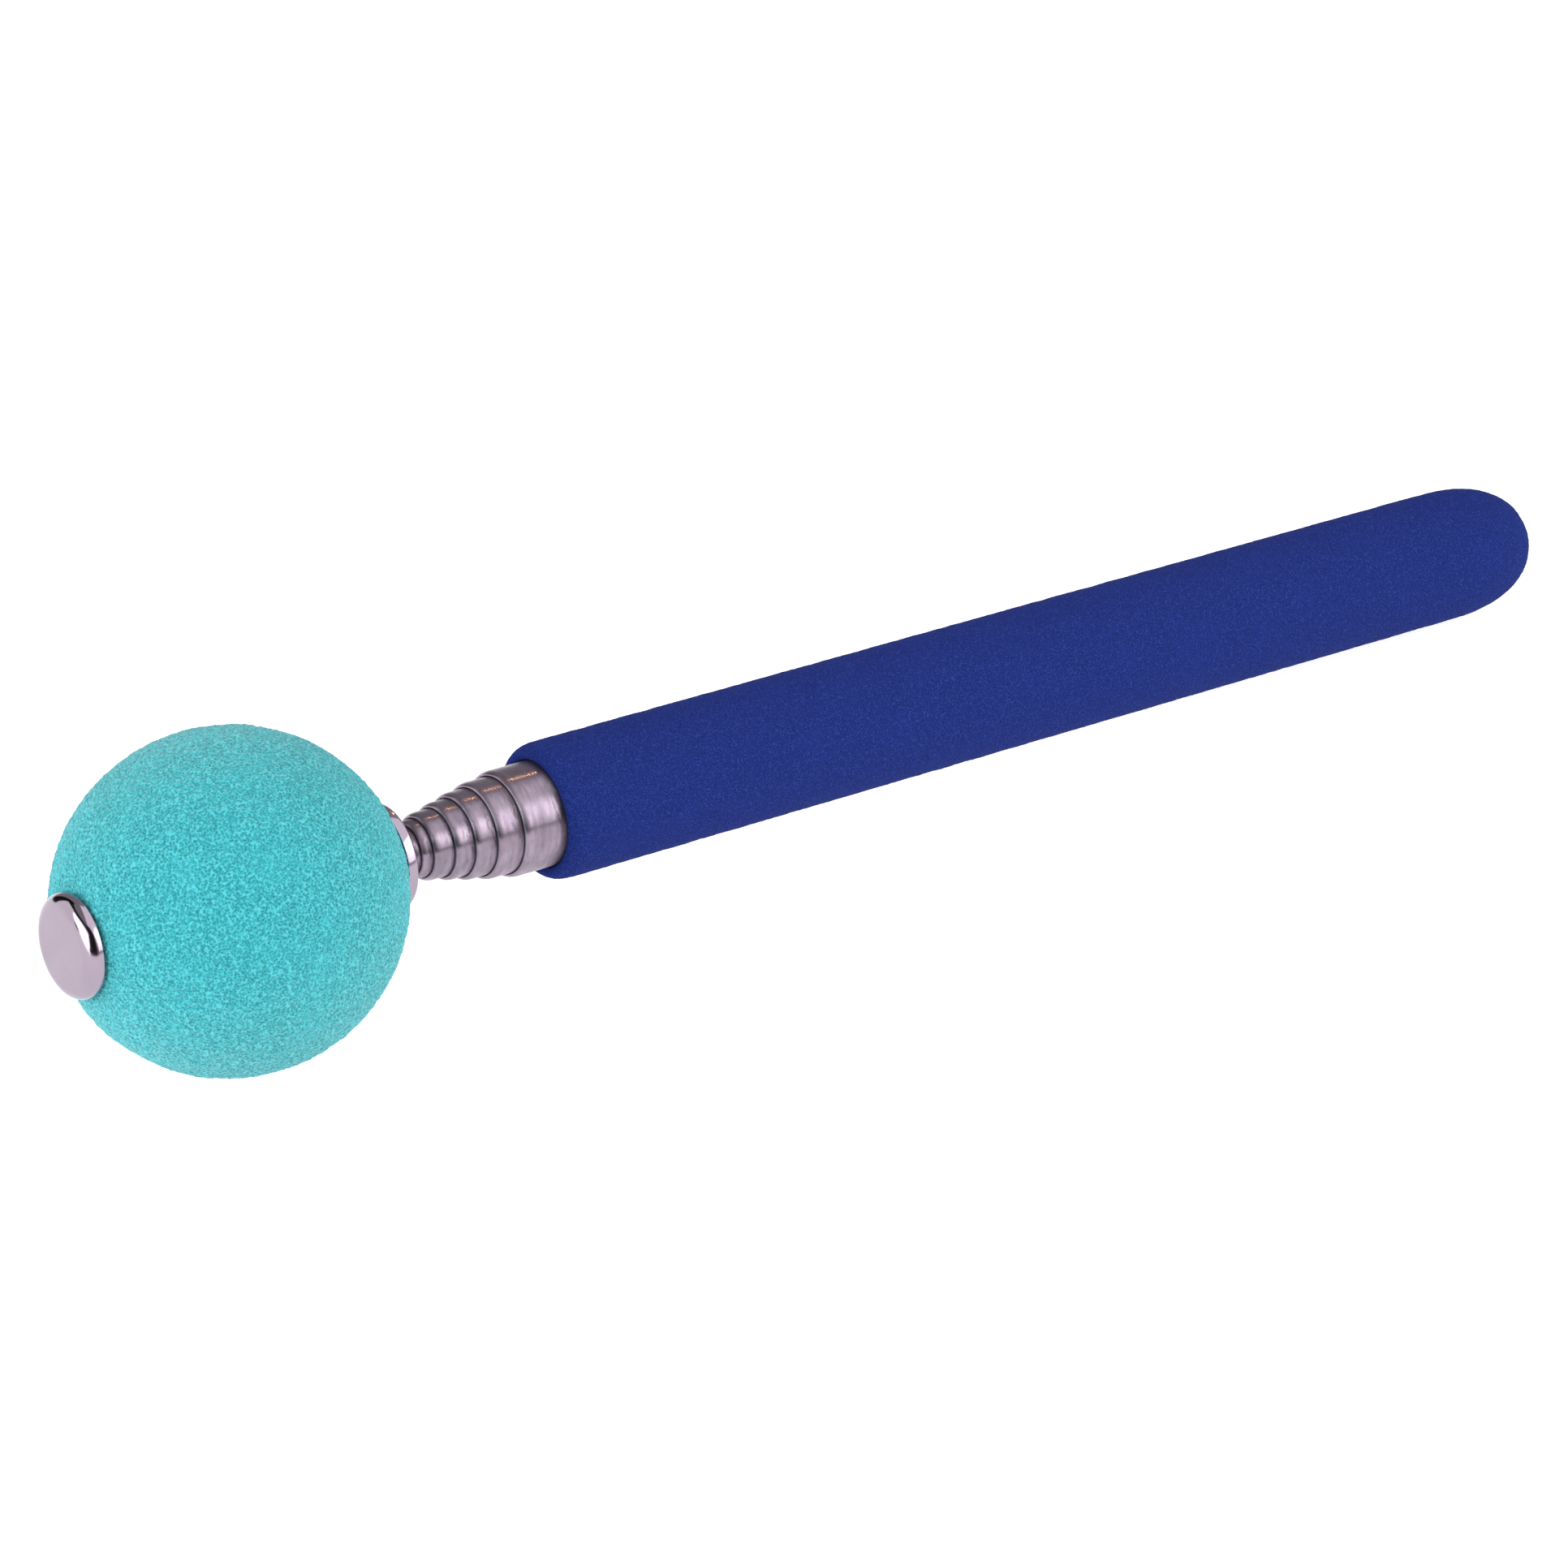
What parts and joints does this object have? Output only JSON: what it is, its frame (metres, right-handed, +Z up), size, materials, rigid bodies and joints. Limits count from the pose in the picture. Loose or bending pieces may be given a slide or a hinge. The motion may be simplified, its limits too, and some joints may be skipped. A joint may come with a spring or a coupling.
{
  "type": "magnetic pickup tool",
  "caption": "Telescopic pickup tool: a foam ball on a core between polished discs, nested sliding steel tubes and a long foam grip.",
  "frame": {"origin": "centre of the front cap's flat face, the working face of the tool", "axes": "+X along the tool's axis from the tip to the grip, tool drawn closed; it is round about X, so +Z up is free"},
  "size_m": [0.169, 0.031, 0.031],
  "materials": {
    "blue_foam": "matte",
    "teal_foam": "matte",
    "stainless": "satin",
    "polished_chrome": "polished",
    "nickel_plate": "satin",
    "spring_bronze": "satin",
    "turned_brass": "satin",
    "drawn_aluminium": "satin",
    "natural_nylon": "matte"
  },
  "bodies": {
    "grip": {"foam_grip": "blue_foam", "outer_tube": "stainless", "rear_plug": "natural_nylon"},
    "tube_2": {"tube_2": "stainless", "friction_sleeve_2": "spring_bronze"},
    "tube_3": {"tube_3": "stainless", "friction_sleeve_3": "spring_bronze"},
    "tube_4": {"tube_4": "stainless", "friction_sleeve_4": "spring_bronze"},
    "tube_5": {"tube_5": "stainless", "friction_sleeve_5": "spring_bronze"},
    "tube_6": {"tube_6": "stainless", "friction_sleeve_6": "spring_bronze"},
    "tube_7": {"tube_7": "stainless", "friction_sleeve_7": "spring_bronze"},
    "head": {"tip_spigot": "stainless", "rear_flange": "polished_chrome", "core_bush": "turned_brass", "core_sleeve": "drawn_aluminium", "foam_ball": "teal_foam", "magnet": "nickel_plate", "front_cap": "polished_chrome"}
  },
  "joints": [
    {"name": "slide_2", "type": "slide", "parent": "grip", "child": "tube_2", "axis": [-1, 0, 0], "range_m": [0, 0.0989]},
    {"name": "slide_3", "type": "slide", "parent": "tube_2", "child": "tube_3", "axis": [-1, 0, 0], "range_m": [0, 0.1009]},
    {"name": "slide_4", "type": "slide", "parent": "tube_3", "child": "tube_4", "axis": [-1, 0, 0], "range_m": [0, 0.1024]},
    {"name": "slide_5", "type": "slide", "parent": "tube_4", "child": "tube_5", "axis": [-1, 0, 0], "range_m": [0, 0.1037]},
    {"name": "slide_6", "type": "slide", "parent": "tube_5", "child": "tube_6", "axis": [-1, 0, 0], "range_m": [0, 0.1051]},
    {"name": "slide_7", "type": "slide", "parent": "tube_6", "child": "tube_7", "axis": [-1, 0, 0], "range_m": [0, 0.1055]},
    {"name": "head_spin", "type": "hinge", "parent": "tube_7", "child": "head", "pos_m": [0.0349, 0, 0], "axis": [1, 0, 0], "continuous": true}
  ]
}
